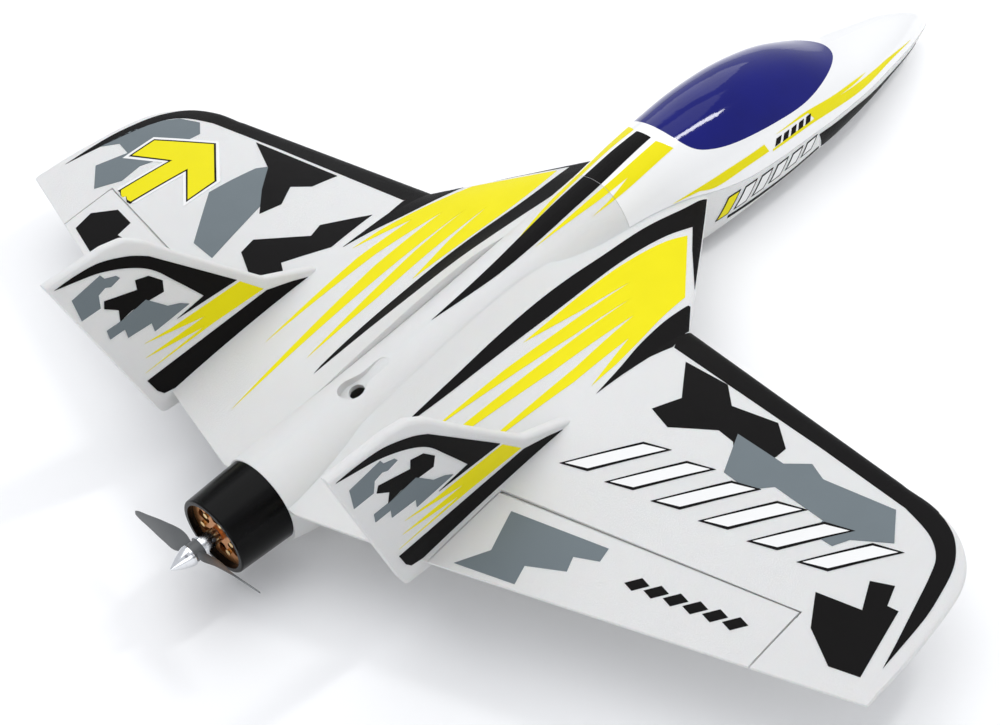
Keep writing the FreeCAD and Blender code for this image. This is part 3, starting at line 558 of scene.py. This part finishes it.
LEFT_PATCHES = {
    "camo_grey_outer": (DECAL_GREY, 1, [
        (-115, 377), (-104, 366), (-108, 350), (-132, 360), (-150, 338), (-132, 326), (-113, 328),
        (-96, 320), (-90, 301), (-84, 324), (-59, 321), (-49, 334), (-55, 352), (-64, 361),
        (-89, 372)]),
    "camo_grey_inner": (DECAL_GREY, 1, [
        (-103, 255), (-83, 252), (-63, 248), (-56, 242), (-78, 212), (-117, 202), (-150, 194),
        (-147, 219)]),
    "camo_dark_front": (DECAL_BLACK, 2, [
        (-40, 276), (-32, 191), (-53, 195), (-63, 208), (-81, 197), (-98, 202), (-78, 223),
        (-57, 241)]),
    "camo_dark_middle": (DECAL_BLACK, 1, [
        (-134, 180), (-120, 183), (-93, 150), (-81, 154), (-50, 132), (-93, 128), (-125, 146),
        (-134, 132), (-142, 138), (-147, 155)]),
}
for name, (material, layer, outline) in LEFT_PATCHES.items():
    decal(name + "_left", outline, WING["left"], from_above, "airframe", material, layer)

decal("elevon_grey_right", flipped([
    (-190, 144), (-175, 210), (-185, 212), (-192, 197), (-202, 201), (-214, 178), (-227, 182),
    (-238, 142), (-218, 154)], -1), ELEVON["right"], from_above, "elevon_right", DECAL_GREY)
decal("elevon_dark_left", [
    (-186, 314), (-169, 317), (-155, 301), (-159, 280), (-173, 278), (-173, 254), (-185, 260),
    (-198, 276)], ELEVON["left"], from_above, "elevon_left", DECAL_BLACK)

# a row of slanted outlined bars along the right wing, and a short solid row on the elevon
BAR_COUNT = 6
BAR_FRAME = 1.9          # width of a wing bar's black frame
for i in range(BAR_COUNT):
    t = i / (BAR_COUNT - 1)
    centre = (-120 + 26 * t, -(166 + 158 * t))
    frame_line = leaning_bar(centre, (42 - 6 * t, 20), -9, 0.45, -0.55)
    face = grown(frame_line, -BAR_FRAME)
    decal("bar_frame_%d" % i, frame_line, WING["right"], from_above, "airframe", DECAL_BLACK, 3, [face])
    decal("bar_face_%d" % i, face, WING["right"], from_above, "airframe", DECAL_WHITE, 3)
for i in range(BAR_COUNT):
    t = i / (BAR_COUNT - 1)
    outline = leaning_bar((-184 + 13.5 * t, -(240 + 62 * t)), (9, 8), -12, 0.0, -0.5)
    decal("elevon_bar_%d" % i, outline, ELEVON["right"], from_above, "elevon_right", DECAL_BLACK)

# a yellow arrow with a black edge and a white margin on the left wing
ARROW_EDGE = 1.6
ARROW_MARGIN = 4.2
ARROW = [(-62, 300), (-92, 262), (-118, 262), (-94, 292), (-148, 300), (-148, 318), (-94, 311),
         (-108, 344), (-86, 344)]
decal("arrow_margin", grown(ARROW, ARROW_MARGIN), WING["left"], from_above, "airframe", DECAL_WHITE, 3)
decal("arrow_edge", grown(ARROW, ARROW_EDGE), WING["left"], from_above, "airframe", DECAL_BLACK, 4)
decal("arrow_face", ARROW, WING["left"], from_above, "airframe", DECAL_YELLOW, 5)

# strake and spine stripes, given for the left side
STRAKE_BAND = (
    curve_through([(111, 42.5), (84, 42), (47, 38), (8, 37.5), (-31, 37), (-90, 38), (-139, 40),
                   (-186, 41.5)])
    + curve_through([(-179, 43), (-145, 46), (-101, 48), (-46, 50), (13, 50), (51, 53), (78, 58)])
    + [(60, 73), (33, 98), (72, 70.5), (98, 52)]
)
STRAKE_FLASH = (
    curve_through([(68, 62), (47, 56.5), (11, 52.5), (-28, 52), (-58, 52.5), (-84, 53)])
    + [(-40, 62), (5, 68), (-60, 64), (-110, 60), (-178, 58), (-60, 74), (-6, 79), (-75, 76),
       (-150, 72), (-238, 67), (-90, 86), (-18, 91), (-80, 95), (-184, 94), (-90, 103), (-37, 103)]
    + [(-85, 114), (-60, 113)]
    + curve_through([(-60, 113), (-34, 109.5), (-8, 105), (20, 101)])
)
for side_name, side in SIDES.items():
    decal("strake_band_" + side_name, flipped(STRAKE_BAND, side), BACK, from_above, "airframe",
          DECAL_BLACK, 1, grid=2.0)
    decal("strake_flash_" + side_name, flipped(STRAKE_FLASH, side), BACK, from_above, "airframe",
          DECAL_YELLOW, 1, grid=3.0)

SEAM_X = 44.0
SPINE = {
    "spine_dark": (DECAL_BLACK,
        curve_through([(98, 7), (63, 8.5), (17, 7.5), (-16, 5), (-47, 2.5), (-77, 1), (-114, 0)])
        + curve_through([(-91, -3.5), (-58, -7.5), (-19, -8.5), (12, -8), (43, -7.5), (98, -6)])),
    "spine_yellow_right": (DECAL_YELLOW,
        curve_through([(98, -10.5), (65, -10.5), (20, -10), (-25, -10.2)])
        + [(0, -12), (32, -14.5), (62, -16), (40, -18.5), (22, -19)]
        + curve_through([(22, -19), (54, -20.5), (85, -21), (104, -21)])),
    "spine_yellow_left": (DECAL_YELLOW,
        curve_through([(99, 11), (66, 12.5), (30, 10.5), (0, 7), (-26, 4)])
        + [(-4, 9), (16, 13), (50, 17)]
        + curve_through([(50, 17), (75, 19.5), (104, 21)])),
}
for name, (material, outline) in SPINE.items():
    ahead = cut_at(outline, SEAM_X + 0.1, True)
    behind = cut_at(outline, SEAM_X - 0.4, False)
    decal(name + "_hood", ahead, HOOD, from_above, "hood", material, 1, grid=3.0)
    decal(name + "_back", behind, HULL, from_above, "airframe", material, 1, grid=3.0)

# nose sides: x forward, z up
HOOD_BARS = 5
SIDE_BARS = 6
SIDE_BAR_FRAME = 1.3
HOOD_FLASHES = {
    "flash_rear": (
        curve_through([(84, 68.4), (100, 68.4), (119, 68.4), (140, 68.6), (156, 68.3), (173, 68)])
        + [(176, 60.9)]
        + curve_through([(176, 60.9), (151, 61.4), (123, 61.0), (108, 65.6)])),
    "flash_front": (
        curve_through([(187, 68.9), (206, 68.4), (222, 67.2), (254, 61.6), (278, 57), (302, 51.4)])
        + [(284, 53.8), (259, 58.2), (276, 54.4)]
        + curve_through([(276, 54.4), (312, 47), (342, 40.4), (379, 31)])
        + curve_through([(379, 31), (358, 35), (327, 40.3), (282, 46.8), (252, 52.2), (226, 55.8),
                         (203, 57.6), (180, 58.8)])
        + [(180, 60.2), (203, 60.2), (228, 58.0), (223, 65.4), (206, 67.2)]),
}
NOSE_BAND = (
    curve_through([(232, 41.8), (251, 39.8), (272, 37.6), (296, 34), (335, 27.2), (365, 22.6),
                   (392, 19.4)])
    + curve_through([(384, 17.6), (352, 18.6), (310, 20.4), (270, 22.6), (238, 25.4)])
)
SIDE_LINE = (
    curve_through([(134, 27.0), (163, 26.6), (193, 26.2), (216, 26.8), (234, 28.6)])
    + curve_through([(235, 25.6), (216, 23.6), (193, 22.8), (163, 22.8), (134, 24.0)])
)
for side_name, side in SIDES.items():
    look = from_side(side)
    for name, outline in HOOD_FLASHES.items():
        decal("%s_%s" % (name, side_name), outline, HOOD, look, "hood", DECAL_YELLOW, 1, grid=2.5)
    decal("nose_band_" + side_name, NOSE_BAND, HULL, look, "airframe", DECAL_BLACK, 1, grid=2.5)
    decal("side_line_" + side_name, SIDE_LINE, HULL, look, "airframe", DECAL_BLACK, 1, grid=2.5)
    for i in range(HOOD_BARS):
        outline = leaning_bar((187 + 8.6 * i, 63.4 - 0.5 * i), (5.6, 4.8), 0, -0.6, 0)
        decal("hood_bar_%s_%d" % (side_name, i), outline, HOOD, look, "hood", DECAL_BLACK, 2, grid=2.0)
    for i in range(SIDE_BARS):
        outline = leaning_bar((133 + 17.4 * i, 37.6 + 0.2 * i), (12.5, 17 - 1.4 * i), 0, -0.7, 0)
        decal("side_bar_%s_%d" % (side_name, i), outline, HULL, look, "airframe", DECAL_BLACK, 1,
              grid=2.0)
        face = grown(outline, -SIDE_BAR_FRAME)
        face_material = DECAL_WHITE if i else DECAL_YELLOW
        decal("side_bar_face_%s_%d" % (side_name, i), face, HULL, look, "airframe", face_material, 2,
              grid=2.0)

# fins: x forward, z up, the same on both faces, with the layer that keeps crossing sheets apart
FIN_DECALS = {
    "fin_crown": (DECAL_BLACK, 3,
        curve_through([(-299, 174.5), (-283, 175), (-264, 173), (-244, 165), (-231, 156.5)])
        + [(-212, 137), (-177, 101), (-228, 103), (-204, 106)]
        + curve_through([(-204, 106), (-219, 128), (-232, 146), (-247, 157.5), (-266, 166.5),
                         (-283, 171)])),
    "fin_yellow": (DECAL_YELLOW, 1, [
        (-175, 98.5), (-160, 82), (-204, 83), (-263, 81.5), (-212, 85), (-259, 91.5), (-208, 91.5),
        (-256, 101.5), (-234, 99.5)]),
    "fin_heel": (DECAL_BLACK, 2, [
        (-158, 79.5), (-137, 73), (-119, 66), (-153, 60), (-201, 58), (-246, 57), (-256, 59),
        (-260, 64), (-264, 75.5)]),
    "fin_grey_a": (DECAL_GREY, 1, [
        (-291, 161), (-267, 165), (-265, 161), (-257, 158), (-255, 155), (-263, 153), (-267, 155),
        (-273, 153), (-275, 144), (-290, 144)]),
    "fin_grey_b": (DECAL_GREY, 4, [
        (-244, 130), (-231, 116), (-222, 112), (-216, 107.5), (-233, 106), (-246, 105), (-246, 112),
        (-265, 113), (-265, 120), (-277, 120), (-277, 127), (-264, 127)]),
    "fin_camo": (DECAL_BLACK, 2, [
        (-246, 147), (-236, 144), (-228, 135), (-230, 127), (-244, 128), (-256, 129), (-266, 127),
        (-264, 135), (-273, 142), (-271, 147), (-247, 140)]),
}
for side_name, side in SIDES.items():
    for facing, look in (("outer", from_side(side)), ("inner", from_between(side))):
        for name, (material, layer, outline) in FIN_DECALS.items():
            decal("%s_%s_%s" % (name, side_name, facing), outline, FIN[side_name], look, "airframe",
                  material, layer, grid=3.0)


# ---------------------------------------------------------------- stage
def area_light(name, place, aim, size, power):
    data = bpy.data.lights.new(name, "AREA")
    data.shape = "RECTANGLE"
    data.size, data.size_y = size
    data.energy = power
    light = bpy.data.objects.new(name, data)
    bpy.context.scene.collection.objects.link(light)
    light.location = place
    light.rotation_euler = (Vector(aim) - Vector(place)).to_track_quat("-Z", "Y").to_euler()


def build_stage():
    """A plain pale floor, an even surround and soft lamps."""
    size = 6.0
    mesh = bpy.data.meshes.new("floor")
    mesh.from_pydata([(-size, -size, 0), (size, -size, 0), (size, size, 0), (-size, size, 0)], [],
                     [(0, 1, 2, 3)])
    floor = bpy.data.objects.new("floor", mesh)
    bpy.context.scene.collection.objects.link(floor)
    n = Nodes("floor")
    soft = n.noise(3.0, 2.0)
    mesh.materials.append(n.set(Base_Color=n.mix(soft, (0.92, 0.92, 0.92), (0.95, 0.95, 0.95)),
                                Roughness=0.85))
    world = bpy.data.worlds.new("studio")
    world.use_nodes = True
    world.node_tree.nodes["Background"].inputs["Color"].default_value = (0.93, 0.95, 1.0, 1.0)
    world.node_tree.nodes["Background"].inputs["Strength"].default_value = 0.72
    bpy.context.scene.world = world
    area_light("overhead", (0.2, 0.3, 2.0), (0.0, 0.0, 0.0), (2.6, 2.2), 19.0)
    area_light("left_front", (1.3, 1.5, 1.1), (0.1, 0.0, 0.05), (1.4, 1.0), 5.0)
    area_light("canopy_glint", (1.05, -0.46, 1.40), (0.13, -0.02, 0.10), (0.17, 0.30), 6.0)
    area_light("right_rear", (-1.4, -1.3, 0.9), (-0.1, 0.0, 0.05), (1.6, 1.0), 5.0)


def place_camera():
    """Above and behind the right wing, with the nose at the upper right of the picture."""
    # the camera's own axes, in the row frame
    right = Vector((0.69692328, -0.70615725, -0.12505948))
    down = Vector((-0.55104433, -0.41569625, -0.72356532))
    ahead = Vector((0.45896415, 0.57318284, -0.67883234))
    data = bpy.data.cameras.new("camera")
    data.sensor_width = 36.0
    data.lens = 71.4
    camera = bpy.data.objects.new("camera", data)
    turn = Matrix((right, -down, -ahead)).transposed().to_4x4()
    camera.matrix_world = Matrix.Translation((-0.69412, -0.78734, 0.94029)) @ turn
    bpy.context.scene.collection.objects.link(camera)
    bpy.context.scene.camera = camera


build_stage()
place_camera()
bpy.context.scene.view_settings.view_transform = "Standard"
